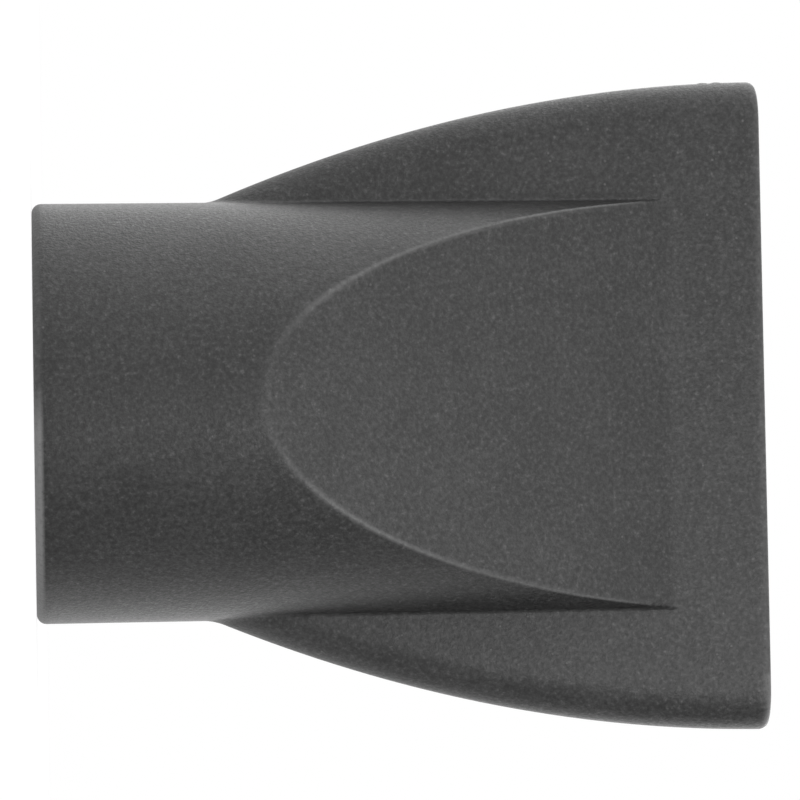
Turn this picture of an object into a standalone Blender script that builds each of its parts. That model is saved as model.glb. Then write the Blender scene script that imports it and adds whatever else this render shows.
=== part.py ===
"""Concentrator nozzle of a hand-held hair dryer: a round sleeve that slips over the dryer's barrel and a
flat fan that squeezes the air into a wide slot.

The nozzle stands on its rear rim. +Z runs along the air flow, from the rim (z = 0) to the slot, X runs
along the slot and Y across it. Three pieces make it up: the moulded nozzle body, a sprung wire ring that
snaps into the barrel's groove, and the end ring, pressed into the sleeve's mouth, that keeps the wire in.
"""

import math

import bmesh
import bpy
from mathutils import Matrix, Vector

MM = 0.001

# Sleeve: the round end, slightly conical so that it leaves its mould.
SLEEVE_RADIUS = 24.0 * MM
SLEEVE_WALL = 2.8 * MM
SLEEVE_DRAFT = math.radians(0.15)
BARREL_DEPTH = 22.0 * MM
RIM_ROUND = 1.1 * MM

# Whole nozzle and its slot end.
NOZZLE_LENGTH = 83.6 * MM
LIP_WIDTH = 74.8 * MM
LIP_THICKNESS = 9.1 * MM
LIP_BAND = 10.65 * MM
LIP_CORNER_LENGTH = 1.05 * MM
LIP_CORNER_WIDTH = 0.85 * MM
LIP_EDGE_ROUND = 0.6 * MM
FAN_START = 20.2 * MM
FAN_WALL = 1.55 * MM

# Sloping facets that turn the round sleeve into a wedge.
FACET_START = 25.2 * MM
FACET_WALL = 2.2 * MM

# Ribs inside the sleeve that stop the barrel, and webs that hold the two lips apart.
STOP_RIB_ANGLES = [math.radians(a) for a in (30, 60, 120, 150, 210, 240, 300, 330)]
STOP_RIB_HEIGHT = 1.4 * MM
STOP_RIB_THICKNESS = 1.2 * MM
LIP_WEB_PLACES = (-12.0 * MM, 12.0 * MM)
LIP_WEB_THICKNESS = 1.2 * MM
LIP_WEB_LENGTH = 7.0 * MM
LIP_WEB_SETBACK = 3.2 * MM

# End ring: pressed into a seat in the sleeve's mouth, a little below the rim.
RING_LENGTH = 5.2 * MM
RING_RECESS = 0.4 * MM
LEAD_IN = 0.5 * MM
RING_CHAMFER = 0.3 * MM
SEAT_WALL = 1.5 * MM
FIT_GAP = 0.3 * MM

# Retaining spring: one bent wire with inward lobes, split on one side.
WIRE_DIAMETER = 0.9 * MM
WIRE_SIDE_GAP = 0.35 * MM
WIRE_SEAT_GAP = 0.3 * MM
LOBE_DEPTH = 1.0 * MM
LOBE_COUNT = 3
LOBE_HALF_ANGLE = math.radians(16)
SPLIT_HALF_ANGLE = math.radians(7)

# Fineness of the round shapes.
ROUND_STEPS = 96
FAN_STATIONS = 26
CORNER_STEPS = 5
EDGE_STEPS = 8
RIM_STEPS = 5
WIRE_STEPS = 108
WIRE_BEVEL_RESOLUTION = 3
OVERRUN = 2.0 * MM

# Places that follow from the sizes above.
FACET_END = NOZZLE_LENGTH - LIP_BAND
BORE_RADIUS = SLEEVE_RADIUS - SLEEVE_WALL
SEAT_RADIUS = SLEEVE_RADIUS - SEAT_WALL
RING_RADIUS = SEAT_RADIUS - FIT_GAP
RING_END = RING_RECESS + RING_LENGTH
GROOVE_WIDTH = WIRE_DIAMETER + 2 * WIRE_SIDE_GAP
GROOVE_MIDDLE = RING_END + GROOVE_WIDTH / 2
GROOVE_END = RING_END + GROOVE_WIDTH
WIRE_RADIUS = SEAT_RADIUS - WIRE_SEAT_GAP - WIRE_DIAMETER / 2


def sleeve_radius(z):
    """Outer radius of the sleeve at height z."""
    return SLEEVE_RADIUS - z * math.tan(SLEEVE_DRAFT)


def bore_radius(z):
    """Inner radius of the sleeve at height z, with the same draft as the outside."""
    return sleeve_radius(z) - SLEEVE_WALL


FACET_DROP = sleeve_radius(FACET_START) - LIP_THICKNESS / 2
FACET_ANGLE = math.atan2(FACET_DROP, FACET_END - FACET_START)


def fan_half_width(z):
    """Half the fan's width at height z: a parabola that leaves the sleeve's side and ends square to the lip."""
    share = (NOZZLE_LENGTH - z) / (NOZZLE_LENGTH - FAN_START)
    spread = LIP_WIDTH / 2 - sleeve_radius(FAN_START)
    return LIP_WIDTH / 2 - spread * share**2


def clear_scene():
    for obj in list(bpy.data.objects):
        bpy.data.objects.remove(obj)


def plastic_or_metal(name, colour, roughness, metallic):
    material = bpy.data.materials.new(name)
    material.use_nodes = True
    shader = material.node_tree.nodes["Principled BSDF"]
    shader.inputs["Base Color"].default_value = (*colour, 1.0)
    shader.inputs["Roughness"].default_value = roughness
    shader.inputs["Metallic"].default_value = metallic
    return material


def object_from(name, bm):
    """An object in the scene from a bmesh, with its normals pointing out."""
    bmesh.ops.recalc_face_normals(bm, faces=bm.faces)
    mesh = bpy.data.meshes.new(name)
    bm.to_mesh(mesh)
    bm.free()
    obj = bpy.data.objects.new(name, mesh)
    bpy.context.scene.collection.objects.link(obj)
    return obj


def as_helper(obj):
    """Marks an object as a cutter, which isn't a piece of the nozzle."""
    obj.hide_render = True
    obj.display_type = "WIRE"
    return obj


def combine(obj, other, operation):
    modifier = obj.modifiers.new(f"{operation.lower()} {other.name}", "BOOLEAN")
    modifier.object = other
    modifier.operation = operation
    modifier.solver = "EXACT"


def shade_round(obj):
    obj.data.shade_smooth()
    obj.data.set_sharp_from_angle(angle=math.radians(30))


def joined_rings(bm, rings):
    """Closes a stack of equal rings of vertices into one solid with flat ends."""
    for lower, upper in zip(rings, rings[1:]):
        for i in range(len(lower)):
            j = (i + 1) % len(lower)
            bm.faces.new((lower[i], lower[j], upper[j], upper[i]))
    bm.faces.new(reversed(rings[0]))
    bm.faces.new(rings[-1])


def cone(name, low, high, radius_at):
    """A solid of revolution with straight sides, whose radius at each end is radius_at(z)."""
    bm = bmesh.new()
    bmesh.ops.create_cone(
        bm,
        cap_ends=True,
        segments=ROUND_STEPS,
        radius1=radius_at(low),
        radius2=radius_at(high),
        depth=high - low,
        matrix=Matrix.Translation((0, 0, (low + high) / 2)),
    )
    return bm, name


def cut_by_facets(bm, inset):
    """Cuts both sloping facets from a sleeve solid, moved inwards by inset, square to each facet."""
    for side in (-1, 1):
        outward = Vector((0, side * math.cos(FACET_ANGLE), math.sin(FACET_ANGLE)))
        on_facet = Vector((0, side * sleeve_radius(FACET_START), FACET_START))
        cut = bmesh.ops.bisect_plane(
            bm,
            geom=bm.verts[:] + bm.edges[:] + bm.faces[:],
            plane_co=on_facet - outward * inset,
            plane_no=outward,
            clear_outer=True,
        )
        rim = [e for e in cut["geom_cut"] if isinstance(e, bmesh.types.BMEdge)]
        bmesh.ops.edgeloop_fill(bm, edges=rim)


def round_rim(bm):
    """Rounds the outer edge of a sleeve solid's rear end."""
    rim = [e for e in bm.edges if all(v.co.z < RIM_ROUND for v in e.verts)]
    bmesh.ops.bevel(bm, geom=rim, offset=RIM_ROUND, segments=RIM_STEPS, profile=0.5, affect="EDGES")


def stadium(bm, z, half_width, half_thickness):
    """A ring of vertices round a slot shape with fully round ends, at height z."""
    ring = []
    centre = half_width - half_thickness
    for end in (0, 1):
        for i in range(EDGE_STEPS + 1):
            angle = end * math.pi - math.pi / 2 + i * math.pi / EDGE_STEPS
            x = (1 - 2 * end) * centre + half_thickness * math.cos(angle)
            ring.append(bm.verts.new((x, half_thickness * math.sin(angle), z)))
    return ring


def fan_shell():
    """The fan's outer shape: slot-shaped sections that widen along the parabola, with a rounded mouth."""
    bm = bmesh.new()
    low = FAN_START - OVERRUN
    high = NOZZLE_LENGTH - LIP_CORNER_LENGTH
    rings = []
    for i in range(FAN_STATIONS):
        z = low + (high - low) * i / FAN_STATIONS
        rings.append(stadium(bm, z, fan_half_width(z), LIP_THICKNESS / 2))
    for i in range(CORNER_STEPS + 1):
        turn = math.pi / 2 * i / CORNER_STEPS
        z = high + LIP_CORNER_LENGTH * math.sin(turn)
        narrowed = fan_half_width(z) - LIP_CORNER_WIDTH * (1 - math.cos(turn))
        thinned = LIP_THICKNESS / 2 - LIP_EDGE_ROUND * (1 - math.cos(turn))
        rings.append(stadium(bm, z, narrowed, thinned))
    joined_rings(bm, rings)
    return object_from("fan_shell", bm)


def fan_core():
    """The hollow of the fan and the slot, as a mould core, notched where the lip webs are."""
    bm = bmesh.new()
    low = BARREL_DEPTH
    high = NOZZLE_LENGTH + OVERRUN
    rings = []
    for i in range(FAN_STATIONS + 1):
        z = low + (high - low) * i / FAN_STATIONS
        half_width = fan_half_width(min(z, NOZZLE_LENGTH)) - FAN_WALL
        rings.append(stadium(bm, z, half_width, LIP_THICKNESS / 2 - FAN_WALL))
    joined_rings(bm, rings)
    core = as_helper(object_from("fan_core", bm))
    for place in LIP_WEB_PLACES:
        combine(core, lip_web(place), "DIFFERENCE")
    return core


def box(name, low, high):
    bm = bmesh.new()
    size = Vector(high) - Vector(low)
    middle = (Vector(high) + Vector(low)) / 2
    scale = Matrix.Diagonal((*size, 1.0))
    bmesh.ops.create_cube(bm, size=1.0, matrix=Matrix.Translation(middle) @ scale)
    return as_helper(object_from(name, bm))


def lip_web(place):
    """A web across the slot at X = place, set back from the lip."""
    half = LIP_WEB_THICKNESS / 2
    high = NOZZLE_LENGTH - LIP_WEB_SETBACK
    return box(
        f"lip_web_{round(place / MM)}",
        (place - half, -LIP_THICKNESS, high - LIP_WEB_LENGTH),
        (place + half, LIP_THICKNESS, high),
    )


def stop_rib(angle):
    """A rib along the sleeve's inner wall, from the barrel's end to where the facet meets it."""
    rib = box(
        f"stop_rib_{round(math.degrees(angle))}",
        (bore_radius(BARREL_DEPTH) - STOP_RIB_HEIGHT, -STOP_RIB_THICKNESS / 2, BARREL_DEPTH),
        (SLEEVE_RADIUS, STOP_RIB_THICKNESS / 2, NOZZLE_LENGTH),
    )
    rib.rotation_euler.z = angle
    return rib


def sleeve_core():
    """The hollow of the sleeve and the wedge, as a mould core, notched where the stop ribs are."""
    bm, name = cone("sleeve_core", -OVERRUN, FACET_END, bore_radius)
    cut_by_facets(bm, FACET_WALL)
    core = as_helper(object_from(name, bm))
    for angle in STOP_RIB_ANGLES:
        combine(core, stop_rib(angle), "DIFFERENCE")
    return core


def seat_core():
    """The wider seat at the sleeve's end, for the end ring's skirt and the spring's groove."""
    bm, name = cone("seat_core", -OVERRUN, GROOVE_END, lambda z: SEAT_RADIUS)
    return as_helper(object_from(name, bm))


def make_nozzle_body(material):
    """The one-piece moulding: sleeve, wedge facets, fan and lips, hollowed by its three cores."""
    bm, name = cone("nozzle_body", 0.0, FACET_END + OVERRUN, sleeve_radius)
    round_rim(bm)
    cut_by_facets(bm, 0.0)
    body = object_from(name, bm)
    combine(body, as_helper(fan_shell()), "UNION")
    for core in (seat_core(), sleeve_core(), fan_core()):
        combine(body, core, "DIFFERENCE")
    body.data.materials.append(material)
    shade_round(body)
    return body


def make_end_ring(material):
    """A turned ring with a lead-in for the barrel at its rear and small chamfers elsewhere."""
    profile = [
        (BORE_RADIUS + LEAD_IN, RING_RECESS),
        (RING_RADIUS - RING_CHAMFER, RING_RECESS),
        (RING_RADIUS, RING_RECESS + RING_CHAMFER),
        (RING_RADIUS, RING_END),
        (BORE_RADIUS, RING_END),
        (BORE_RADIUS, RING_RECESS + LEAD_IN),
    ]
    bm = bmesh.new()
    rings = []
    for i in range(ROUND_STEPS):
        turn = 2 * math.pi * i / ROUND_STEPS
        rings.append([bm.verts.new((r * math.cos(turn), r * math.sin(turn), z)) for r, z in profile])
    for ring, following in zip(rings, rings[1:] + rings[:1]):
        for i in range(len(profile)):
            j = (i + 1) % len(profile)
            bm.faces.new((ring[i], ring[j], following[j], following[i]))
    ring = object_from("end_ring", bm)
    ring.data.materials.append(material)
    shade_round(ring)
    return ring


def wire_radius_at(turn):
    """Centre line of the wire: round where it seats in the groove, with lobes that dip into the bore."""
    lobe_pitch = 2 * math.pi / LOBE_COUNT
    from_lobe = abs((turn + math.pi + lobe_pitch / 2) % lobe_pitch - lobe_pitch / 2)
    if from_lobe >= LOBE_HALF_ANGLE:
        return WIRE_RADIUS
    dip = math.cos(math.pi / 2 * from_lobe / LOBE_HALF_ANGLE) ** 2
    return WIRE_RADIUS - LOBE_DEPTH * dip


def make_retaining_spring(material):
    """The sprung wire ring, in its groove between the end ring and the sleeve's shoulder."""
    curve = bpy.data.curves.new("retaining_spring", "CURVE")
    curve.dimensions = "3D"
    curve.bevel_depth = WIRE_DIAMETER / 2
    curve.bevel_resolution = WIRE_BEVEL_RESOLUTION
    curve.use_fill_caps = True
    spline = curve.splines.new("POLY")
    spline.points.add(WIRE_STEPS)
    arc = 2 * (math.pi - SPLIT_HALF_ANGLE)
    for i, point in enumerate(spline.points):
        turn = SPLIT_HALF_ANGLE + arc * i / WIRE_STEPS
        radius = wire_radius_at(turn)
        point.co = (radius * math.cos(turn), radius * math.sin(turn), 0.0, 1.0)
    spring = bpy.data.objects.new("retaining_spring", curve)
    bpy.context.scene.collection.objects.link(spring)
    spring.location.z = GROOVE_MIDDLE
    curve.materials.append(material)
    return spring


def main():
    clear_scene()
    grained_plastic = plastic_or_metal("grained_plastic", (0.062, 0.062, 0.064), 0.6, 0.0)
    smooth_plastic = plastic_or_metal("smooth_plastic", (0.075, 0.075, 0.077), 0.45, 0.0)
    spring_steel = plastic_or_metal("spring_steel", (0.55, 0.55, 0.56), 0.3, 1.0)
    make_nozzle_body(grained_plastic)
    make_end_ring(smooth_plastic)
    make_retaining_spring(spring_steel)


main()
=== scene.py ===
"""The finished look of a hair dryer's concentrator nozzle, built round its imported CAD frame.

The nozzle stands on its rear rim, with +Z along the air flow, X along the slot and Y across it. A
moulding with smooth skins, ribs and webs, a turned end ring and a bent wire spring take the places of
the plain CAD solids, and a white light box surrounds them.
"""

import logging
import math
from collections.abc import Callable, Sequence
from dataclasses import dataclass
from enum import Enum
from typing import Any

import bmesh
import bpy
import numpy as np
from bpy.types import ID, Material, Mesh, NodeSocket, NodeTree, Object
from mathutils import Matrix, Vector


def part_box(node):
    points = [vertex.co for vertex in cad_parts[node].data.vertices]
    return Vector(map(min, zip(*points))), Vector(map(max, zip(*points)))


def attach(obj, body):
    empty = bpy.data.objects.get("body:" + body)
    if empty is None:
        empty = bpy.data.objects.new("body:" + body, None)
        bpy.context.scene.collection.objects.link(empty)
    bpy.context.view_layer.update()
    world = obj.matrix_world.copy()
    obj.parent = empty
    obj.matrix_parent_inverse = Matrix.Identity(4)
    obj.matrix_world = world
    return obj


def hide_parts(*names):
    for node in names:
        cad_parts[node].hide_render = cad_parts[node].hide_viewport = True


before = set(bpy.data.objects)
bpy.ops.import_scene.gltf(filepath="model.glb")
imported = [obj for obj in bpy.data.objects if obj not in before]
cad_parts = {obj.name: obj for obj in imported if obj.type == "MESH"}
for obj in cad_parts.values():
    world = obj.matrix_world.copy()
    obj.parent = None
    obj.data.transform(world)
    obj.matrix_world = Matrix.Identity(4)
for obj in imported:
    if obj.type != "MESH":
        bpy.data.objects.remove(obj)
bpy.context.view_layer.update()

LOG = logging.getLogger("nozzle")
MM = 0.001
SLEEVE_RADIUS = 24.0 * MM
QUARTER_TURN = math.pi / 2
Amount = float | np.ndarray  # one number or many
Colour = tuple[float, float, float, float]
Span = tuple[float, float]


class Body(Enum):
    """The bodies that pieces ride on."""

    NOZZLE = "nozzle"
    BARREL_RING = "barrel_ring"


class Slot(Enum):
    """The record's material slots."""

    GRAINED_PLASTIC = "grained_plastic"
    SMOOTH_PLASTIC = "smooth_plastic"
    SPRING_STEEL = "spring_steel"


# Nodes ----------------


@dataclass(frozen=True)
class Signal:
    """A node's output, which Python expressions can do arithmetic on."""

    tree: NodeTree
    socket: NodeSocket

    def math(self, operation: str, *values: "Signal | float") -> "Signal":
        """This signal after a Math node, with the node's other operands where it has them."""
        inputs = dict(enumerate((self, *values)))
        return add_node(self.tree, "ShaderNodeMath", {"operation": operation}, inputs)

    def __add__(self, other: "Signal | float") -> "Signal":
        """This signal plus another value."""
        return self.math("ADD", other)

    __radd__ = __add__

    def __mul__(self, other: "Signal | float") -> "Signal":
        """This signal times another value."""
        return self.math("MULTIPLY", other)

    __rmul__ = __mul__

    def __sub__(self, other: "Signal | float") -> "Signal":
        """This signal less another value."""
        return self.math("SUBTRACT", other)

    def __rsub__(self, other: float) -> "Signal":
        """A number less this signal."""
        return self.math("MULTIPLY_ADD", -1.0, other)

    def __truediv__(self, other: "Signal | float") -> "Signal":
        """This signal over another value."""
        return self.math("DIVIDE", other)

    def __abs__(self) -> "Signal":
        """This signal without its sign."""
        return self.math("ABSOLUTE")

    def ease(self, start: float, end: float) -> "Signal":
        """A smooth step over this signal.

        Args:
            start: the value at which the result is 0.
            end: the value at which the result is 1.

        Returns:
            A signal from 0 to 1. The step falls where end is below start.
        """
        low, high = min(start, end), max(start, end)
        inputs = {"Value": self, "From Min": low, "From Max": high}
        step = add_node(self.tree, "ShaderNodeMapRange", {"interpolation_type": "SMOOTHSTEP"}, inputs)
        return step if start < end else 1.0 - step


def add_node(
    tree: NodeTree,
    kind: str,
    settings: dict[str, Any] | None = None,
    inputs: dict[str | int, Any] | None = None,
    output: str | int = 0,
) -> Signal:
    """Adds any node to a tree.

    Args:
        tree: the tree that gets the node.
        kind: the node's type.
        settings: the node's own properties, which are set first.
        inputs: a value or a signal for each input, by the input's name or place.
        output: the name or place of the output that is wanted.

    Returns:
        The wanted output.
    """
    node = tree.nodes.new(kind)
    for name, value in (settings or {}).items():
        setattr(node, name, value)
    for name, value in (inputs or {}).items():
        if isinstance(value, Signal):
            tree.links.new(value.socket, node.inputs[name])
        else:
            node.inputs[name].default_value = value
    return Signal(tree, node.outputs[output])


def split(signal: Signal) -> tuple[Signal, ...]:
    """Every output of the node that a signal comes from, such as X, Y and Z."""
    return tuple(Signal(signal.tree, socket) for socket in signal.socket.node.outputs)


def grey(level: float) -> Colour:
    """An even grey, fully opaque."""
    return level, level, level, 1.0


class Paint:
    """A procedural material being mixed on a Principled shader."""

    def __init__(self, name: str, metallic: float = 0.0) -> None:
        """Starts the material, with a name and 1 for metal or 0 for anything else."""
        self.material = bpy.data.materials.new(name)
        self.material.use_nodes = True
        self.tree = self.material.node_tree
        self.shader = self.tree.nodes["Principled BSDF"]
        self.shader.inputs["Metallic"].default_value = metallic

    def coordinates(self) -> Signal:
        """The place on the object, in metres."""
        return add_node(self.tree, "ShaderNodeTexCoord", output="Object")

    def axes(self) -> tuple[Signal, Signal, Signal]:
        """The place on the object as separate X, Y and Z."""
        return split(add_node(self.tree, "ShaderNodeSeparateXYZ", None, {0: self.coordinates()}))

    def attribute(self, name: str) -> Signal:
        """A value that the mesh carries on its points."""
        return add_node(self.tree, "ShaderNodeAttribute", {"attribute_name": name}, output="Fac")

    def noise(self, size: float, detail: float, roughness: float = 0.5) -> Signal:
        """Soft random patches round 0.5, of a width in metres, with finer layers of some strength."""
        inputs = {"Vector": self.coordinates(), "Scale": 1 / size}
        inputs |= {"Detail": detail, "Roughness": roughness}
        return add_node(self.tree, "ShaderNodeTexNoise", None, inputs)

    def cells(self, size: float, output: str) -> Signal:
        """Random cells of a width in metres: Distance from each cell's middle, or its own Color."""
        inputs = {"Vector": self.coordinates(), "Scale": 1 / size}
        return add_node(self.tree, "ShaderNodeTexVoronoi", None, inputs, output)

    def mix_colours(self, factor: Signal, low: Any, high: Any) -> Signal:
        """Mixes two colours, each a signal or four numbers, from low at 0 to high at 1."""
        inputs = {0: factor, 6: low, 7: high}
        return add_node(self.tree, "ShaderNodeMix", {"data_type": "RGBA"}, inputs, 2)

    def relief(self, height: Signal, depth: float, strength: float) -> Signal:
        """The normal of a height from about 0 to 1, which is depth metres deep at 1."""
        inputs = {"Height": height, "Distance": depth, "Strength": strength}
        return add_node(self.tree, "ShaderNodeBump", None, inputs)

    def finish(self, colour: Signal, roughness: Signal, normal: Signal) -> Material:
        """Joins the finish to the shader, and returns the finished material."""
        for name, signal in (("Base Color", colour), ("Roughness", roughness), ("Normal", normal)):
            self.tree.links.new(signal.socket, self.shader.inputs[name])
        return self.material


class Recipe:
    """A geometry node tree with named inputs, and the mesh that it grows."""

    def __init__(self, name: str) -> None:
        """Starts an empty tree of that name."""
        self.tree = bpy.data.node_groups.new(name, "GeometryNodeTree")
        for way in ("INPUT", "OUTPUT"):
            self.tree.interface.new_socket("Geometry", in_out=way, socket_type="NodeSocketGeometry")
        self.entry = self.tree.nodes.new("NodeGroupInput")
        self.exit = self.tree.nodes.new("NodeGroupOutput")
        self.values: dict[str, Any] = {}

    def geometry(self) -> Signal:
        """The mesh that the tree starts from."""
        return Signal(self.tree, self.entry.outputs["Geometry"])

    def input(self, name: str, value: Any, kind: str = "NodeSocketFloat") -> Signal:
        """Adds an input of a name, a value and a socket type, and returns its signal in the tree."""
        item = self.tree.interface.new_socket(name, in_out="INPUT", socket_type=kind)
        self.values[item.identifier] = value
        return Signal(self.tree, self.entry.outputs[name])

    def node(self, kind: str, settings: Any = None, inputs: Any = None, output: Any = 0) -> Signal:
        """Adds a node to this tree, as add_node does."""
        return add_node(self.tree, kind, settings, inputs, output)

    def vector(self, x: Any, y: Any, z: Any) -> Signal:
        """Joins three numbers or signals into a vector."""
        return self.node("ShaderNodeCombineXYZ", None, {0: x, 1: y, 2: z})

    def stored(self, name: str) -> Signal:
        """A value that the starting mesh carries on its points."""
        return self.node("GeometryNodeInputNamedAttribute", {"data_type": "FLOAT"}, {"Name": name})

    def repeat(self, block: Signal, **inputs: Signal) -> Signal:
        """Sets a block on every starting point, with its Rotation and Scale where they are given."""
        inputs |= {"Points": self.geometry(), "Instance": block}
        return self.node("GeometryNodeInstanceOnPoints", None, inputs)

    def grow(self, name: str, start: Mesh, shape: Signal, material: Material) -> Object:
        """Runs the tree and keeps its result as a plain mesh.

        Args:
            name: the new piece's name.
            start: the mesh that the tree starts from.
            shape: the geometry that the tree ends in.
            material: the piece's material.

        Returns:
            The piece, with no modifier left on it.
        """
        finish = self.input("Finish", material, "NodeSocketMaterial")
        real = self.node("GeometryNodeRealizeInstances", None, {0: shape})
        painted = self.node("GeometryNodeSetMaterial", None, {0: real, "Material": finish})
        self.tree.links.new(painted.socket, self.exit.inputs[0])
        seed = new_object(f"{name}_seed", start)
        modifier = seed.modifiers.new(name, "NODES")
        modifier.node_group = self.tree
        for identifier, value in self.values.items():
            modifier[identifier] = value
        mesh = finished_mesh(seed)
        bpy.data.objects.remove(seed)
        return new_object(name, mesh)


# Meshes ----------------


def new_object(name: str, data: ID) -> Object:
    """Links a mesh, a lamp or a camera into the scene as an object at the origin."""
    made = bpy.data.objects.new(name, data)
    data.name = name
    bpy.context.scene.collection.objects.link(made)
    return made


def finished_mesh(piece: Object) -> Mesh:
    """A plain copy of a piece's mesh with its modifiers worked in."""
    evaluated = piece.evaluated_get(bpy.context.evaluated_depsgraph_get())
    return bpy.data.meshes.new_from_object(evaluated)


def mesh_of_points(name: str, points: Sequence[Sequence[float]], **values: Sequence[float]) -> Mesh:
    """A mesh of loose points for a recipe to start from.

    Args:
        name: the mesh's name.
        points: where the points are.
        values: numbers that the points carry, by name.

    Returns:
        The mesh.
    """
    mesh = bpy.data.meshes.new(name)
    mesh.from_pydata([tuple(p) for p in points], [], [])
    carry(mesh, **values)
    return mesh


def carry(mesh: Mesh, **values: Sequence[float]) -> None:
    """Gives a mesh's points numbers to carry, by name."""
    for name, numbers in values.items():
        mesh.attributes.new(name, "FLOAT", "POINT").data.foreach_set("value", list(numbers))


def tidy_faces(piece: Object, sharp_degrees: float, merge: float = 0.0) -> Object:
    """Merges doubled points, turns every face outwards and shades the round parts smooth.

    Args:
        piece: the piece to tidy.
        sharp_degrees: the angle from which an edge stays sharp.
        merge: the distance under which points are one, or 0 to leave them.

    Returns:
        The same piece.
    """
    bm = bmesh.new()
    bm.from_mesh(piece.data)
    if merge:
        bmesh.ops.remove_doubles(bm, verts=bm.verts, dist=merge)
    bmesh.ops.recalc_face_normals(bm, faces=bm.faces)
    bm.to_mesh(piece.data)
    bm.free()
    piece.data.shade_smooth()
    piece.data.set_sharp_from_angle(angle=math.radians(sharp_degrees))
    return piece


def soften(piece: Object, radius: float, segments: int = 2) -> Object:
    """Rounds a piece's edges for good.

    Args:
        piece: the piece, which has no other modifier.
        radius: the edges' radius.
        segments: how many faces make the round.

    Returns:
        The same piece with its edges rounded.
    """
    modifier = piece.modifiers.new("rounded edges", "BEVEL")
    modifier.width = radius
    modifier.segments = segments
    mesh = finished_mesh(piece)
    piece.modifiers.clear()
    piece.data = mesh
    return tidy_faces(piece, 40.0)


def settle(piece: Object, body: Body, slot: Slot, *stands_for: str) -> None:
    """Hangs a finished piece on its body and reports it.

    Args:
        piece: the finished piece.
        body: the body it moves with.
        slot: the material slot meant for its finish; not used.
        stands_for: the CAD nodes that it is shown instead of.
    """
    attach(piece, body.value)
    if stands_for:
        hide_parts(*stands_for)
    LOG.info("%s: %d faces, rides on %s", piece.name, len(piece.data.polygons), body.value)


def soft_union(a: Amount, b: Amount, radius: float) -> Amount:
    """Joins two distance fields with a fillet of that radius between them."""
    corner = np.hypot(np.maximum(radius - a, 0), np.maximum(radius - b, 0))
    return np.maximum(np.minimum(a, b), radius) - corner


def soft_cut(a: Amount, b: Amount, radius: float) -> Amount:
    """The space inside both distance fields, with the edge between them rounded to that radius."""
    corner = np.hypot(np.maximum(radius + a, 0), np.maximum(radius + b, 0))
    return np.minimum(np.maximum(a, b), -radius) + corner


def spaced(start: float, *stretches: Span) -> np.ndarray:
    """Places along stretches that follow each other.

    Args:
        start: where the first stretch begins.
        stretches: where each stretch ends, and about how far apart its places are.

    Returns:
        The places, up to and not including the last end.
    """
    places = []
    for end, step in stretches:
        places.append(np.linspace(start, end, max(2, round(abs(end - start) / step) + 1))[:-1])
        start = end
    return np.concatenate(places)


def crowded(start: float, end: float, count: int, at_start: bool, at_end: bool) -> np.ndarray:
    """Places from start to end that crowd towards one of them or both.

    Args:
        start: the first place.
        end: the last place.
        count: how many steps there are.
        at_start: whether they are fine at the start.
        at_end: whether they are fine at the end.

    Returns:
        The places, one more than there are steps.
    """
    fineness = 0.1
    reach = 4.0
    steps = np.ones(count)
    places = np.arange(count)
    if at_start:
        steps -= (1 - fineness) * np.exp(-places / reach)
    if at_end:
        steps -= (1 - fineness) * np.exp(-(count - 1 - places) / reach)
    steps = np.maximum(steps, fineness)
    shares = np.concatenate([[0.0], np.cumsum(steps)]) / steps.sum()
    return start + (end - start) * shares


def around(quarter: np.ndarray) -> np.ndarray:
    """Mirrors a quarter outline, from +X to +Y with both ends, into a closed one."""
    half = np.concatenate([quarter, quarter[-2::-1] * (-1, 1, 1)])
    return np.concatenate([half, half[-2:0:-1] * (1, -1, 1)])


# Finishes ----------------


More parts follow.
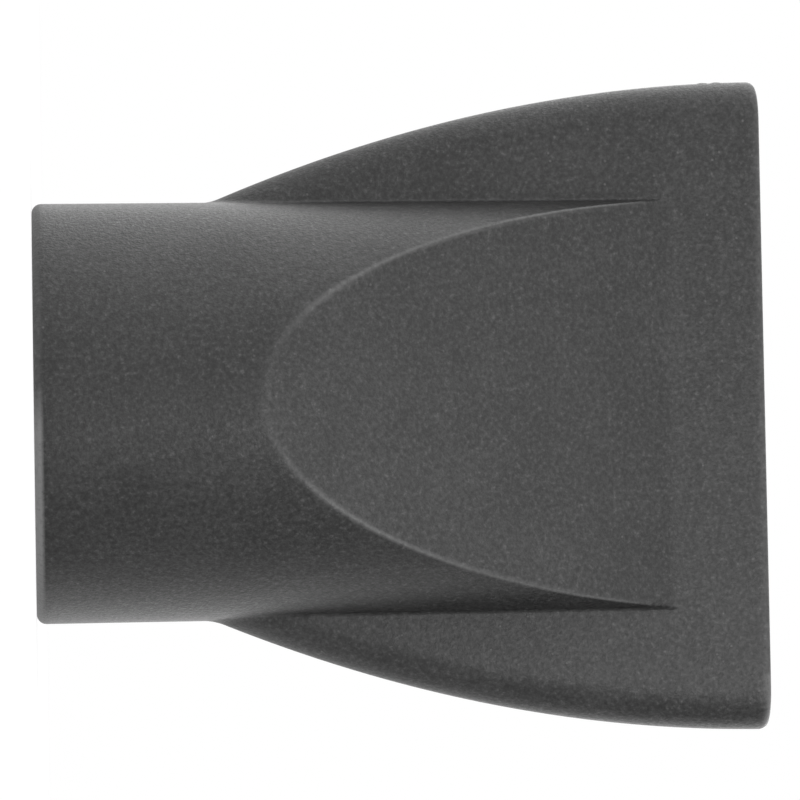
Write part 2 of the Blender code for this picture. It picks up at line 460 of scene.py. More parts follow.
@dataclass(frozen=True)
class GrainedPlastic:
    """Dark grey mineral-filled plastic from a spark-eroded mould."""

    dark: float = 0.007
    light: float = 0.036
    fleck: float = 0.1
    # Painted highlight: the pale grey that worn edges, the rim and the lips' edges are lightened towards.
    rubbed_highlight: float = 0.24
    grain_size: float = 0.52 * MM
    grain_contrast: Span = (0.3, 0.74)
    grain_peaks: Span = (0.58, 0.8)
    grit_size: float = 0.3 * MM
    fleck_size: float = 0.9 * MM
    fleck_edge: Span = (0.24, 0.08)
    flecks_chosen: Span = (0.8, 0.95)
    patch_size: float = 9.0 * MM
    patch_strength: float = 0.2
    peak_strength: float = 0.55
    fleck_strength: float = 0.6
    rub_and_highlight_strength: float = 0.8
    relief_depth: float = 0.1 * MM
    grain_relief: float = 0.65
    grit_relief: float = 0.35
    fleck_relief: float = 0.4
    roughness: float = 0.48
    grit_roughness: float = 0.25
    rub_polish: float = 0.1
    parting_width: float = 0.12 * MM

    def material(self) -> Material:
        """Mixes the plastic, which reads the mesh's worn-edge and painted-highlight values and its parting
        values.

        Returns:
            The material.
        """
        paint = Paint("grained_plastic")
        grain = paint.noise(self.grain_size, 3.0, 0.7)
        grit = paint.noise(self.grit_size, 1.0)
        patches = paint.noise(self.patch_size, 2.0)
        wear = paint.attribute("wear")
        spot = paint.cells(self.fleck_size, "Distance").ease(*self.fleck_edge)
        chosen = paint.cells(self.fleck_size, "Color").ease(*self.flecks_chosen)
        flecks = spot * chosen
        tone = (grain + (patches - 0.5) * self.patch_strength).ease(*self.grain_contrast)
        bright = grain.ease(*self.grain_peaks) * self.peak_strength + flecks * self.fleck_strength
        # Painted highlight: worn edges are lightened towards a pale grey. This is partly real wear and
        # partly stands in for the light that the rounded edges catch.
        rub_and_highlight = wear * grain.ease(0.0, 0.5) * self.rub_and_highlight_strength
        colour = paint.mix_colours(tone, grey(self.dark), grey(self.light))
        colour = paint.mix_colours(bright, colour, grey(self.fleck))
        colour = paint.mix_colours(rub_and_highlight, colour, grey(self.rubbed_highlight))
        roughness = self.roughness + (grit - 0.5) * self.grit_roughness - wear * self.rub_polish
        _, across, _ = paint.axes()
        parting = abs(across).ease(self.parting_width, 0.0) * paint.attribute("parting")
        height = grain * self.grain_relief + grit * self.grit_relief + flecks * self.fleck_relief + parting
        return paint.finish(colour, roughness, paint.relief(height, self.relief_depth, 1.0))


@dataclass(frozen=True)
class SmoothPlastic:
    """The end ring's plastic, the same grey with a finer, glossier skin."""

    dark: float = 0.028
    light: float = 0.05
    grain_size: float = 0.25 * MM
    smear_size: float = 4.0 * MM
    relief_depth: float = 0.015 * MM
    roughness: float = 0.38
    smear_roughness: float = 0.2

    def material(self) -> Material:
        """Mixes the plastic.

        Returns:
            The material.
        """
        paint = Paint("smooth_plastic")
        grain = paint.noise(self.grain_size, 2.0)
        smear = paint.noise(self.smear_size, 3.0, 0.6)
        colour = paint.mix_colours(grain * 0.5 + smear * 0.5, grey(self.dark), grey(self.light))
        roughness = self.roughness + (smear - 0.5) * self.smear_roughness
        return paint.finish(colour, roughness, paint.relief(grain, self.relief_depth, 1.0))


@dataclass(frozen=True)
class SpringSteel:
    """Bright drawn spring wire, with fine lines along it and a trace of oil."""

    steel: Colour = (0.56, 0.56, 0.58, 1.0)
    dull: Colour = (0.3, 0.29, 0.28, 1.0)
    line_width: float = 0.05 * MM
    line_pitch: float = 0.16 * MM
    line_waver: float = 4.0
    line_roughness: float = 0.04
    stain_size: float = 3.0 * MM
    stain_edge: Span = (0.45, 0.75)
    stain_strength: float = 0.6
    stain_roughness: float = 0.2
    roughness: float = 0.28

    def material(self) -> Material:
        """Mixes the steel.

        Returns:
            The material.
        """
        paint = Paint("spring_steel", metallic=1.0)
        _, _, height = paint.axes()
        waver = paint.noise(self.stain_size, 2.0) * self.line_waver
        lines = (height / self.line_pitch + waver).math("SINE")
        stains = paint.noise(self.stain_size, 3.0, 0.6).ease(*self.stain_edge)
        colour = paint.mix_colours(stains * self.stain_strength, self.steel, self.dull)
        roughness = self.roughness + stains * self.stain_roughness + lines * self.line_roughness
        return paint.finish(colour, roughness, paint.relief(lines, self.line_width / 8, 0.4))


# Sub-assemblies ----------------


@dataclass(frozen=True)
class Skin:
    """One skin of the moulding: a round sleeve cut by two facets and joined to a flat fan."""

    sleeve_radius: Callable[[Amount], Amount]
    facet_reach: Callable[[Amount], Amount]
    facet_angle: float
    fan_half_width: Callable[[Amount], Amount]
    fan_half_thickness: Callable[[Amount], Amount]
    edge_round: float
    root_fillet: float

    LOW_ANGLE = 0.22
    LEAST_ROOT_ANGLE = 0.04
    LEAST_SLEEVE_ANGLE = 0.05
    LEAST_FACET_ANGLE = 0.25
    FAN_RAYS = 1300
    SLEEVE_RAYS = 700
    HALVINGS = 34
    FAN_STEPS = 24
    SLEEVE_STEPS = 36
    FACET_STEPS = 18

    def field(self, x: Amount, y: Amount, z: Amount) -> Amount:
        """How far points are outside the skin.

        Args:
            x: their X.
            y: their Y.
            z: their Z.

        Returns:
            The distance, negative inside.
        """
        round_part = np.hypot(x, y) - self.sleeve_radius(z)
        facets = (np.abs(y) - self.facet_reach(z)) * math.cos(self.facet_angle)
        thickness = self.fan_half_thickness(z)
        past_end = np.maximum(np.abs(x) - (self.fan_half_width(z) - thickness), 0)
        fan = np.hypot(past_end, y) - thickness
        return soft_union(soft_cut(round_part, facets, self.edge_round), fan, self.root_fillet)

    def corners(self, z: np.ndarray, rays: np.ndarray) -> tuple[np.ndarray, np.ndarray]:
        """The directions of the fan's root and of the facet's edge at each height.

        Args:
            z: the heights, as a column.
            rays: the directions to look in, as a row.

        Returns:
            Both directions, a little apart from each other and from the ends of the quarter.
        """
        radius = self.sleeve_radius(z)
        thickness = self.fan_half_thickness(z)
        past_end = np.maximum(radius * np.cos(rays) - (self.fan_half_width(z) - thickness), 0)
        outside_fan = np.hypot(past_end, radius * np.sin(rays)) > thickness
        root = np.clip(rays[outside_fan.argmax(axis=1)], self.LEAST_ROOT_ANGLE, None)
        edge = np.arcsin(np.clip(self.facet_reach(z) / radius, 0, 1))[:, 0]
        return root, np.clip(edge, root + self.LEAST_SLEEVE_ANGLE, QUARTER_TURN - self.LEAST_FACET_ANGLE)

    def outline(self, heights: np.ndarray) -> np.ndarray:
        """A closed outline of the skin at each height, with its points crowded at the corners.

        Args:
            heights: the heights.

        Returns:
            X, Y and Z of each point of each outline.
        """
        low_rays = np.linspace(0, self.LOW_ANGLE, self.FAN_RAYS, endpoint=False)
        rays = np.append(low_rays, np.linspace(self.LOW_ANGLE, QUARTER_TURN, self.SLEEVE_RAYS))
        z = heights[:, None]
        near = np.zeros((len(heights), len(rays)))
        far = near + 2 * float(self.fan_half_width(heights).max())
        for _ in range(self.HALVINGS):
            middle = (near + far) / 2
            outside = self.field(middle * np.cos(rays), middle * np.sin(rays), z) > 0
            far = np.where(outside, middle, far)
            near = np.where(outside, near, middle)
        x = near * np.cos(rays)
        y = near * np.sin(rays)
        run = np.pad(np.cumsum(np.hypot(np.diff(x), np.diff(y)), axis=1), ((0, 0), (1, 0)))
        root, edge = self.corners(z, rays)
        rows = []
        for i, height in enumerate(heights):
            fan_end, sleeve_end = np.interp([root[i], edge[i]], rays, run[i])
            wanted = np.concatenate(
                [
                    crowded(0.0, fan_end, self.FAN_STEPS, False, True)[:-1],
                    crowded(fan_end, sleeve_end, self.SLEEVE_STEPS, True, True)[:-1],
                    crowded(sleeve_end, run[i, -1], self.FACET_STEPS, True, False),
                ]
            )
            across, along = (np.interp(wanted, run[i], places[i]) for places in (x, y))
            rows.append(around(np.column_stack([across, along, np.full(len(wanted), height)])))
        return np.array(rows)


@dataclass(frozen=True)
class RubbingAndHighlights:
    """Where handling has worn the moulding and a painted highlight lightens it, how strongly, and how wide
    each line is.
    """

    facet_edge: float = 0.5
    facet_edge_width: float = 0.18 * MM
    facet_start_fade: float = 8.0 * MM
    facet_side_fade: float = 3.0 * MM
    lip: float = 0.2
    lip_end: float = 0.55
    lip_end_place: float = 0.42
    lip_width: float = 0.7 * MM
    rim: float = 0.9
    rim_least: float = 0.2
    rim_width: float = 0.5 * MM
    rim_fade: float = 6.0 * MM
    rim_far: float = 30.0 * MM
    rim_far_fade: float = 14.0 * MM
    inside: float = 0.3


@dataclass(frozen=True)
class Moulding:
    """The nozzle's one-piece moulding: sleeve, wedge facets, fan, lips, stop ribs and lip webs."""

    radius: float
    length: float
    width: float
    sleeve_wall: float = 2.8 * MM
    draft: float = math.radians(0.15)
    barrel_depth: float = 22.0 * MM
    seat_wall: float = 1.5 * MM
    groove_end: float = 7.2 * MM
    rim_round: float = 1.1 * MM
    lip_thickness: float = 9.1 * MM
    lip_band: float = 10.65 * MM
    lip_corner_length: float = 1.05 * MM
    lip_corner_width: float = 0.85 * MM
    lip_edge_round: float = 0.6 * MM
    mouth_edge_round: float = 0.3 * MM
    fan_start: float = 20.2 * MM
    fan_wall: float = 1.55 * MM
    facet_start: float = 25.2 * MM
    facet_wall: float = 2.2 * MM
    facet_edge_round: float = 0.25 * MM
    root_fillet: float = 0.45 * MM
    hidden_round: float = 0.5 * MM
    seat_edge_round: float = 0.15 * MM
    gate_heights: tuple[float, ...] = (77.6 * MM, 79.2 * MM)
    gate_reach: float = 0.7 * MM
    gate_stand: float = 0.12 * MM
    rib_angles: tuple[float, ...] = tuple(map(math.radians, (30, 60, 120, 150, 210, 240, 300, 330)))
    rib_height: float = 1.4 * MM
    rib_thickness: float = 1.2 * MM
    rib_sunk: float = 1.0 * MM
    rib_edge_round: float = 0.18 * MM
    web_places: tuple[float, ...] = (-12.0 * MM, 12.0 * MM)
    web_thickness: float = 1.2 * MM
    web_edge_round: float = 0.54 * MM
    web_length: float = 7.0 * MM
    web_setback: float = 3.2 * MM
    web_sunk: float = 0.5 * MM
    rubbing_and_highlights: RubbingAndHighlights = RubbingAndHighlights()

    RIM_ROWS = 9

    def sleeve_radius(self, z: Amount) -> Amount:
        """The sleeve's outer radius, which shrinks with the draft."""
        return self.radius - z * math.tan(self.draft)

    def facet_end(self) -> float:
        """The height at which the sloping facets reach the lip band."""
        return self.length - self.lip_band

    def facet_slope(self) -> float:
        """How much a facet closes in for each unit of height."""
        drop = self.sleeve_radius(self.facet_start) - self.lip_thickness / 2
        return drop / (self.facet_end() - self.facet_start)

    def facet_angle(self) -> float:
        """How far a facet leans in from upright."""
        return math.atan(self.facet_slope())

    def facet_depth(self) -> float:
        """The wall behind a facet, measured level."""
        return self.facet_wall / math.cos(self.facet_angle())

    def facet_reach(self, z: Amount) -> Amount:
        """How far each facet stands from the middle plane at height z."""
        return self.sleeve_radius(self.facet_start) - self.facet_slope() * (z - self.facet_start)

    def fan_half_width(self, z: Amount) -> Amount:
        """Half the fan's width: a parabola from the sleeve's side that ends square to the lip."""
        share = (self.length - np.minimum(z, self.length)) / (self.length - self.fan_start)
        spread = self.width / 2 - self.sleeve_radius(self.fan_start)
        return self.width / 2 - spread * share**2

    def turned_in(self, z: Amount, reach: float, depth: float) -> Amount:
        """How far a round that ends at the mouth has come in at height z, of its whole depth."""
        share = np.clip((z - (self.length - reach)) / reach, 0, 1)
        return depth * (1 - np.sqrt(1 - share**2))

    def outer_half_width(self, z: Amount) -> Amount:
        """Half the fan's width with its corners rounded at the mouth."""
        return self.fan_half_width(z) - self.turned_in(z, self.lip_corner_length, self.lip_corner_width)

    def outer_half_thickness(self, z: Amount) -> Amount:
        """Half the fan's thickness, with the lips' outer edges rounded."""
        return self.lip_thickness / 2 - self.turned_in(z, self.lip_edge_round, self.lip_edge_round)

    def mouth_flare(self, z: Amount) -> Amount:
        """How far the slot's inner edge is rounded back at height z."""
        return self.turned_in(z, self.mouth_edge_round, self.mouth_edge_round)

    def slot_half_width(self, z: Amount) -> Amount:
        """Half the slot's width, which follows the mouth's corners so that the lip keeps its wall."""
        inset = self.turned_in(z, self.lip_corner_length, self.lip_corner_width - self.lip_edge_round)
        return self.fan_half_width(z) - self.fan_wall - inset + self.mouth_flare(z)

    def outer_skin(self) -> Skin:
        """The skin that is seen from outside."""
        return Skin(
            self.sleeve_radius,
            self.facet_reach,
            self.facet_angle(),
            self.outer_half_width,
            self.outer_half_thickness,
            self.facet_edge_round,
            self.root_fillet,
        )

    def inner_skin(self) -> Skin:
        """The skin that the air meets, a wall's thickness inside the outer one."""
        return Skin(
            lambda z: self.sleeve_radius(z) - self.sleeve_wall,
            lambda z: self.facet_reach(z) - self.facet_depth(),
            self.facet_angle(),
            self.slot_half_width,
            lambda z: self.lip_thickness / 2 - self.fan_wall + self.mouth_flare(z),
            self.hidden_round,
            self.hidden_round,
        )

    def outer_heights(self) -> np.ndarray:
        """The heights of the outer outlines, close together where the shape turns."""
        rim = self.rim_round * (1 - np.cos(np.linspace(0, QUARTER_TURN, self.RIM_ROWS)))
        corner = self.length - self.lip_corner_length
        between = spaced(
            2 * self.rim_round,
            (self.fan_start - 2.0 * MM, 1.4 * MM),
            (self.facet_start + 2.5 * MM, 0.35 * MM),
            (self.facet_end() - 2.5 * MM, 0.85 * MM),
            (self.facet_end() + 1.5 * MM, 0.3 * MM),
            (self.gate_heights[0] - self.gate_reach, 0.7 * MM),
            (self.gate_heights[-1] + self.gate_reach, 0.14 * MM),
            (corner, 0.7 * MM),
        )
        return np.concatenate([rim, between, self.corner_heights(15)])

    def corner_heights(self, count: int) -> np.ndarray:
        """The heights of the outlines round the mouth's corner, closer towards its end."""
        turns = np.linspace(0, QUARTER_TURN, count)
        return self.length - self.lip_corner_length + self.lip_corner_length * np.sin(turns)

    def inner_heights(self) -> np.ndarray:
        """The heights of the inner outlines, from the barrel's stop up to the mouth."""
        passage = spaced(
            self.barrel_depth,
            (self.facet_start, 0.6 * MM),
            (self.facet_end() - 3.0 * MM, 1.3 * MM),
            (self.facet_end() + 2.0 * MM, 0.6 * MM),
            (self.length - self.lip_corner_length, 1.2 * MM),
        )
        return np.append(passage, self.corner_heights(13))

    def bore_rows(self, widest: np.ndarray) -> np.ndarray:
        """The round rows below the barrel's stop: the bore, the groove's shoulder and the seat.

        Args:
            widest: the outline just above, whose points set the directions.

        Returns:
            The rows, from the top down to the moulding's end.
        """
        turns = np.arctan2(widest[:, 1], widest[:, 0])
        seat = self.radius - self.seat_wall
        bore = self.sleeve_radius(self.groove_end) - self.sleeve_wall
        edge = self.seat_edge_round
        bore_heights = np.linspace(self.barrel_depth, self.groove_end + edge, 10)
        profile = [(self.sleeve_radius(z) - self.sleeve_wall, z) for z in bore_heights]
        profile += [(bore + edge, self.groove_end), (seat, self.groove_end)]
        profile += [(seat, z) for z in np.linspace(self.groove_end, edge, 6)[1:]]
        profile += [(seat + edge, 0.0)]
        ring = np.column_stack([np.cos(turns), np.sin(turns), np.ones(len(turns))])
        return np.array([ring * (radius, radius, z) for radius, z in profile])

    def skins(self) -> tuple[np.ndarray, int]:
        """Every row of the closed moulding, up the outside and down the inside.

        Returns:
            The rows of points, and how many of them are outside.
        """
        outer = self.outer_skin().outline(self.outer_heights())
        for i, turn in enumerate(np.linspace(0, QUARTER_TURN, self.RIM_ROWS)):
            outer[i, :, :2] *= 1 - self.rim_round * (1 - math.sin(turn)) / self.radius
        inner = self.inner_skin().outline(self.inner_heights())[::-1]
        return np.concatenate([outer, inner, self.bore_rows(inner[-1])]), len(outer)

    def add_gate_mark(self, outer: np.ndarray) -> None:
        """Raises the two low stubs that the mould's gate leaves on one edge of the outside rows."""
        x, y, z = np.moveaxis(outer, -1, 0)
        for height in self.gate_heights:
            away = np.hypot(z - height, y / 2) / self.gate_reach
            outer[..., 0] -= self.gate_stand * (x < 0) * np.clip(1 - away**2, 0, 1)

    def wear(self, rows: np.ndarray, outside: int) -> np.ndarray:
        """How worn each point is, with a painted highlight on top: the facets' edges, the lips' outer
        edges and the rim.

        Args:
            rows: every row of points.
            outside: how many of the rows are outside.

        Returns:
            The worn and painted-highlight share of each point, from 0 to 1.
        """
        rub_and_highlight = self.rubbing_and_highlights
        x, y, z = np.moveaxis(rows, -1, 0)
        from_sleeve = np.hypot(x, y) - self.sleeve_radius(z)
        from_facet = (np.abs(y) - self.facet_reach(z)) * math.cos(self.facet_angle())
        # Partly real wear and partly a painted highlight along both facets' edges, standing in for the
        # light that their rounding catches.
        edge = rub_and_highlight.facet_edge * np.exp(-((np.hypot(from_sleeve, from_facet) / rub_and_highlight.facet_edge_width) ** 2))
        edge *= np.clip((z - self.facet_start) / rub_and_highlight.facet_start_fade, 0, 1)
        edge *= np.clip((np.abs(y) - self.lip_thickness / 2) / rub_and_highlight.facet_side_fade, 0, 1)
        # Painted highlight along the lips' outer edges, stronger at the +X end.
        lip = np.exp(-(((self.length - z) / rub_and_highlight.lip_width) ** 2))
        lip *= np.where(x > rub_and_highlight.lip_end_place * self.width, rub_and_highlight.lip_end, rub_and_highlight.lip)
        # Painted highlight on the rim: strongest on the +X half, weaker towards -X and at the far +X side.
        rim = np.clip((self.rim_round - z) / rub_and_highlight.rim_width, 0, rub_and_highlight.rim)
        rim *= np.clip(0.5 + x / rub_and_highlight.rim_fade, rub_and_highlight.rim_least, 1)
        rim *= np.clip((rub_and_highlight.rim_far - x) / rub_and_highlight.rim_far_fade, 0, 1)
        rubbed_highlight = np.maximum.reduce([edge, lip, rim])
        rubbed_highlight[outside:] *= rub_and_highlight.inside
        return rubbed_highlight.ravel()

    def shell(self, material: Material) -> Object:
        """Builds the moulding's closed shell.

        Args:
            material: the plastic it is made of.

        Returns:
            The piece.
        """
        rows, outside = self.skins()
        self.add_gate_mark(rows[:outside])
        count = rows.shape[1]
        grid = np.arange(rows.shape[0] * count).reshape(rows.shape[0], count)
        above = np.roll(grid, -1, axis=0)
        faces = np.stack([grid, np.roll(grid, -1, axis=1), np.roll(above, -1, axis=1), above], axis=-1)
        mesh = bpy.data.meshes.new("nozzle_moulding")
        mesh.from_pydata(rows.reshape(-1, 3).tolist(), [], faces.reshape(-1, 4).tolist())
        parting = np.zeros(rows.shape[:2])
        parting[:outside] = 1.0
        carry(mesh, wear=self.wear(rows, outside), parting=parting.ravel())
        mesh.materials.append(material)
        return tidy_faces(new_object("nozzle_moulding", mesh), 38.0, merge=0.002 * MM)

    def stop_ribs(self, material: Material) -> Object:
        """Sets the stop ribs round the inner wall, each as long as the facet leaves room for.

        Args:
            material: the plastic they are made of.

        Returns:
            The ribs as one piece.
        """
        inner = self.sleeve_radius(self.barrel_depth) - self.sleeve_wall - self.rib_height
        depth = self.rib_height + self.rib_sunk
        centre = inner + depth / 2
        points, lengths = [], []
        for turn in self.rib_angles:
            reach = abs(math.sin(turn)) * (inner + self.rib_height)
            room = self.facet_reach(self.facet_start) - self.facet_depth() - reach
            meets = self.facet_start + room / self.facet_slope()
            lengths.append(meets + self.facet_depth() / 2 / self.facet_slope() - self.barrel_depth)
            points.append((centre * math.cos(turn), centre * math.sin(turn), self.barrel_depth))
        recipe = Recipe("stop_ribs")
        rib_depth = recipe.input("Rib depth", depth)
        rib_thickness = recipe.input("Rib thickness", self.rib_thickness)
        size = recipe.vector(rib_depth, rib_thickness, 1.0)
        block = recipe.node("GeometryNodeMeshCube", None, {"Size": size, 1: 2, 2: 3, 3: 2})
        raised = recipe.node("GeometryNodeTransform", None, {0: block, "Translation": (0.0, 0.0, 0.5)})
        turned = recipe.vector(0.0, 0.0, recipe.stored("turn"))
        stretched = recipe.vector(1.0, 1.0, recipe.stored("length"))
        repeated = recipe.repeat(raised, Rotation=turned, Scale=stretched)
        start = mesh_of_points("rib_feet", points, turn=self.rib_angles, length=lengths)
        return soften(recipe.grow("stop_ribs", start, repeated, material), self.rib_edge_round)

    def lip_webs(self, material: Material) -> Object:
        """Sets the webs across the slot, with their ends rounded to the air.

        Args:
            material: the plastic they are made of.

        Returns:
            The webs as one piece.
        """
        middle = self.length - self.web_setback - self.web_length / 2
        span = self.lip_thickness - 2 * self.fan_wall + 2 * self.web_sunk
        recipe = Recipe("lip_webs")
        size = recipe.vector(
            recipe.input("Web thickness", self.web_thickness),
            recipe.input("Web span", span),
            recipe.input("Web length", self.web_length),
        )
        block = recipe.node("GeometryNodeMeshCube", None, {"Size": size})
        start = mesh_of_points("web_places", [(x, 0.0, middle) for x in self.web_places])
        webs = recipe.grow("lip_webs", start, recipe.repeat(block), material)
        return soften(webs, self.web_edge_round, 4)

    def build(self, material: Material) -> None:
        """Builds and dresses the moulding's three pieces in the plastic it is made of."""
        settle(self.shell(material), Body.NOZZLE, Slot.GRAINED_PLASTIC, "nozzle_body")
        settle(self.stop_ribs(material), Body.NOZZLE, Slot.GRAINED_PLASTIC)
        settle(self.lip_webs(material), Body.NOZZLE, Slot.GRAINED_PLASTIC)


@dataclass(frozen=True)
class EndRing:
    """The plain ring that is pressed into the sleeve's mouth and keeps the spring in."""

    radius: float
    start: float
    end: float
    bore: float = 21.2 * MM
    lead_in: float = 0.5 * MM
    chamfer: float = 0.3 * MM
    edge_round: float = 0.12 * MM
    turns: int = 288

    def profile(self) -> list[Span]:
        """The ring's cut, counter-clockwise from its inner foot.

        Returns:
            Radius and height of each point, the first repeated at the end.
        """
        corners = np.array(
            [
                (self.bore + self.lead_in, self.start),
                (self.radius - self.chamfer, self.start),
                (self.radius, self.start + self.chamfer),
                (self.radius, self.end),
                (self.bore, self.end),
                (self.bore, self.start + self.lead_in),
            ]
        )
        points = []
        for before, corner, after in zip(np.roll(corners, 1, 0), corners, np.roll(corners, -1, 0)):
            arrive, leave = (
                corner + (other - corner) / np.linalg.norm(other - corner) * self.edge_round
                for other in (before, after)
            )
            for t in np.linspace(0, 1, 7):
                points.append((1 - t) ** 2 * arrive + 2 * t * (1 - t) * corner + t**2 * leave)
        return [tuple(point) for point in [*points, points[0]]]

    def build(self, material: Material) -> None:
        """Turns the profile about Z and dresses the ring in its plastic.

        Args:
            material: the plastic.
        """
        profile = self.profile()
        recipe = Recipe("end_ring")
        turns = recipe.input("Turns", self.turns, "NodeSocketInt")
        size = {"Size X": 1.0, "Size Y": 1.0, "Vertices X": turns + 1, "Vertices Y": len(profile)}
        grid = recipe.node("GeometryNodeMeshGrid", None, size)
        place = recipe.node("GeometryNodeInputPosition")
        across, along, _ = split(recipe.node("ShaderNodeSeparateXYZ", None, {0: place}))
        angle = (across + 0.5) * (2 * math.pi)
        index = ((along + 0.5) * (len(profile) - 1)).math("ROUND")
        source = {"Geometry": recipe.geometry(), "Value": place, "Index": index}
        sample = recipe.node("GeometryNodeSampleIndex", {"data_type": "FLOAT_VECTOR"}, source)
        radius, _, height = split(recipe.node("ShaderNodeSeparateXYZ", None, {0: sample}))
        turned = recipe.vector(radius * angle.math("COSINE"), radius * angle.math("SINE"), height)
        shape = recipe.node("GeometryNodeSetPosition", None, {0: grid, "Position": turned})
        closed = recipe.node("GeometryNodeMergeByDistance", None, {0: shape, "Distance": 0.002 * MM})
        start = mesh_of_points("ring_profile", [(r, 0.0, z) for r, z in profile])
        ring = recipe.grow("end_ring_turned", start, closed, material)
        settle(tidy_faces(ring, 40.0), Body.NOZZLE, Slot.SMOOTH_PLASTIC, "end_ring")


@dataclass(frozen=True)
class BarrelSpring:
    """The sprung wire ring whose lobes snap into the barrel's groove."""

    height: float
    outer_radius: float
    wire: float = 0.9 * MM
    lobe_depth: float = 1.0 * MM
    lobes: int = 3
    lobe_half_angle: float = math.radians(16)
    split_half_angle: float = math.radians(7)
    steps: int = 420
    sides: int = 20
    tip: float = 0.75

    def build(self, material: Material) -> None:
        """Bends the wire along its path and dresses it.

        Args:
            material: the steel it is made of.
        """
        recipe = Recipe("retaining_spring")
        ring_radius = recipe.input("Ring radius", self.outer_radius - self.wire / 2)
        wire_radius = recipe.input("Wire radius", self.wire / 2)
        lobe_depth = recipe.input("Lobe depth", self.lobe_depth)
        half_split = recipe.input("Split half angle", self.split_half_angle)
        count = recipe.input("Steps", self.steps, "NodeSocketInt")
        line = recipe.node("GeometryNodeCurvePrimitiveLine", None, {"End": (1.0, 0.0, 0.0)})
        points = recipe.node("GeometryNodeResampleCurve", None, {0: line, "Count": count})
        share = recipe.node("GeometryNodeSplineParameter", output="Factor")
        turn = half_split + (2 * math.pi - 2.0 * half_split) * share
        pitch = 2 * math.pi / self.lobes
        from_lobe = abs((turn + (math.pi + pitch / 2)).math("FLOORED_MODULO", pitch) - pitch / 2)
        nearness = (from_lobe / self.lobe_half_angle).math("MINIMUM", 1.0) * QUARTER_TURN
        dip = nearness.math("COSINE").math("POWER", 2.0)
        radius = ring_radius - lobe_depth * dip
        place = recipe.vector(radius * turn.math("COSINE"), radius * turn.math("SINE"), self.height)
        path = recipe.node("GeometryNodeSetPosition", None, {0: points, "Position": place})
        from_end = (0.5 - abs(share - 0.5)) * float(self.steps)
        narrowed = from_end.ease(0.0, 1.5) * (1 - self.tip) + self.tip
        tapered = recipe.node("GeometryNodeSetCurveRadius", None, {0: path, "Radius": narrowed})
        circle = {"Radius": wire_radius, "Resolution": self.sides}
        section = recipe.node("GeometryNodeCurvePrimitiveCircle", None, circle)
        sweep = {"Curve": tapered, "Profile Curve": section, "Scale": narrowed, "Fill Caps": True}
        wire = recipe.node("GeometryNodeCurveToMesh", None, sweep)
        spring = recipe.grow("retaining_spring_wire", mesh_of_points("seed", [(0, 0, 0)]), wire, material)
        settle(tidy_faces(spring, 50.0), Body.BARREL_RING, Slot.SPRING_STEEL, "retaining_spring")


# Studio ----------------


@dataclass(frozen=True)
class Patch:
    """A soft patch on the light box's wall, in degrees: a bright panel, or a dark flag.

    Its angle runs round Z from the front, -Y, towards +X, and it rises from the horizon.
    """

    angle: float
    rise: float
    inner: float
    outer: float
    gain: float

    def light(self, tree: NodeTree, way: Signal) -> Signal:
        """How much light the patch adds in each direction.

        Args:
            tree: the world's node tree.
            way: the direction that is looked in.

        Returns:
            The light that it adds, negative for a flag.
        """
        sizes = (self.angle, self.rise, self.inner, self.outer)
        angle, rise, inner, outer = (math.radians(size) for size in sizes)
        level = math.cos(rise)
        middle = (math.sin(angle) * level, -math.cos(angle) * level, math.sin(rise))
        dot = {"operation": "DOT_PRODUCT"}
        nearness = add_node(tree, "ShaderNodeVectorMath", dot, {0: way, 1: middle}, "Value")
        return nearness.ease(math.cos(outer), math.cos(inner)) * self.gain


@dataclass(frozen=True)
class Lamp:
    """A soft lamp with a flat face that is turned to the nozzle."""

    place: tuple[float, float, float]
    width: float
    height: float
    brightness: float

    def hang(self, name: str, target: Vector) -> None:
        """Hangs the lamp, out of the camera's sight.

        Args:
            name: the lamp's name.
            target: the point that it faces.
        """
        data = bpy.data.lights.new(name, "AREA")
        data.shape = "RECTANGLE"
        data.size = self.width
        data.size_y = self.height
        data.energy = math.pi * self.brightness * self.width * self.height
        lamp = new_object(name, data)
        place = Vector(self.place)
        facing = (target - place).to_track_quat("-Z", "Y").to_matrix().to_4x4()
        lamp.matrix_world = Matrix.Translation(place) @ facing
        lamp.visible_camera = False


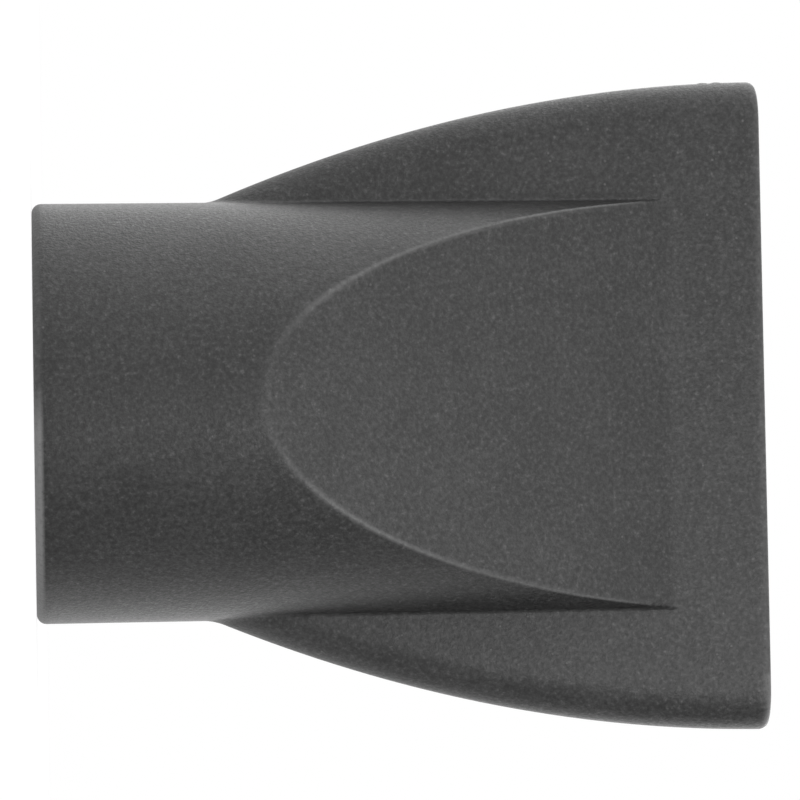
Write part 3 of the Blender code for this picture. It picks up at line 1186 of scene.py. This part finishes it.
@dataclass(frozen=True)
class Studio:
    """A white light box with bright panels and a dark flag, two lamps, a pale floor and the camera."""

    aim_height: float = 41.75 * MM
    distance: float = 583.5 * MM
    lens: float = 228.55
    roll: float = math.radians(3.53)
    pitch: float = math.radians(-4.0)
    spin: float = math.radians(-0.77)
    shift: Span = (0.0019, 0.0116)
    floor_size: float = 60.0
    box_strength: float = 1.19
    box_darkest: float = 0.15
    side_panel: Patch = Patch(-98.6, -27, 13, 75.5, 1.45)
    side_flag: Patch = Patch(53.5, -21.5, 17, 79, -2.8)
    back_panel: Patch = Patch(181, -31, 17, 97, 1.22)
    key_lamp: Lamp = Lamp((50 * MM, -220 * MM, 125 * MM), 80 * MM, 160 * MM, 4.17)
    side_lamp: Lamp = Lamp((150 * MM, -220 * MM, 165 * MM), 80 * MM, 80 * MM, 3.19)
    floor_shade: float = 0.3
    floor_glow: float = 0.57

    def camera(self) -> None:
        """Looks at the nozzle's wide side, with its axis across the picture."""
        turns = (
            Matrix.Rotation(self.spin, 3, "Z")
            @ Matrix.Rotation(-self.pitch, 3, "Y")
            @ Matrix.Rotation(self.roll, 3, "X")
        )
        right, down, back = (Vector((row.y, -row.z, row.x)) for row in turns)
        data = bpy.data.cameras.new("camera")
        data.lens = self.lens
        data.shift_x, data.shift_y = self.shift
        data.clip_start = 0.01
        data.clip_end = 100.0
        camera = new_object("camera", data)
        place = Vector((0.0, 0.0, self.aim_height)) + back * self.distance
        facing = Matrix((right, -down, back)).transposed()
        camera.matrix_world = Matrix.Translation(place) @ facing.to_4x4()
        bpy.context.scene.camera = camera

    def light_box(self) -> None:
        """Lights the nozzle evenly from all round, less from the flag's side, on a white background."""
        world = bpy.data.worlds.new("light_box")
        world.use_nodes = True
        bpy.context.scene.world = world
        tree = world.node_tree
        tree.nodes.clear()
        way = add_node(tree, "ShaderNodeTexCoord", output="Generated")
        strength = self.box_strength
        for patch in (self.side_panel, self.side_flag, self.back_panel):
            strength = patch.light(tree, way) + strength
        strength = strength.math("MAXIMUM", self.box_darkest)
        lit, seen = (
            add_node(tree, "ShaderNodeBackground", None, {"Color": grey(1.0), "Strength": level})
            for level in (strength, 1.0)
        )
        direct = add_node(tree, "ShaderNodeLightPath", output="Is Camera Ray")
        mixed = add_node(tree, "ShaderNodeMixShader", None, {0: direct, 1: lit, 2: seen})
        output = tree.nodes.new("ShaderNodeOutputWorld")
        tree.links.new(mixed.socket, output.inputs["Surface"])

    def floor(self) -> None:
        """Lays the pale, softly glowing floor that the rim stands on."""
        half = self.floor_size / 2
        corners = [(-half, -half, 0), (half, -half, 0), (half, half, 0), (-half, half, 0)]
        mesh = bpy.data.meshes.new("floor")
        mesh.from_pydata(corners, [], [(0, 1, 2, 3)])
        material = bpy.data.materials.new("pale_floor")
        material.use_nodes = True
        values = {
            "Base Color": grey(self.floor_shade),
            "Roughness": 0.9,
            "Specular IOR Level": 0.2,
            "Emission Color": grey(1.0),
            "Emission Strength": self.floor_glow,
        }
        for name, value in values.items():
            material.node_tree.nodes["Principled BSDF"].inputs[name].default_value = value
        mesh.materials.append(material)
        new_object("floor", mesh)

    def build(self) -> None:
        """Sets the camera, the lights and the floor."""
        self.camera()
        self.light_box()
        target = Vector((0.0, 0.0, self.aim_height))
        self.key_lamp.hang("key_lamp", target)
        self.side_lamp.hang("side_lamp", target)
        self.floor()
        bpy.context.scene.view_settings.view_transform = "Standard"
        LOG.info("studio: camera at %.0f mm, lens %.0f mm", self.distance / MM, self.lens)


def main() -> None:
    """Builds the studio and every piece of the nozzle, in order, sized from the CAD parts' boxes."""
    logging.basicConfig(level=logging.INFO, format="%(name)s: %(message)s")
    Studio().build()
    plastic = GrainedPlastic().material()
    body_low, body_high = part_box("nozzle_body")
    ring_low, ring_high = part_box("end_ring")
    spring_low, spring_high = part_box("retaining_spring")
    moulding = Moulding(radius=SLEEVE_RADIUS, length=body_high.z, width=body_high.x - body_low.x)
    moulding.build(plastic)
    EndRing(radius=ring_high.x, start=ring_low.z, end=ring_high.z).build(SmoothPlastic().material())
    spring = BarrelSpring(height=(spring_low.z + spring_high.z) / 2, outer_radius=spring_high.y)
    spring.build(SpringSteel().material())


if __name__ == "__main__":
    main()
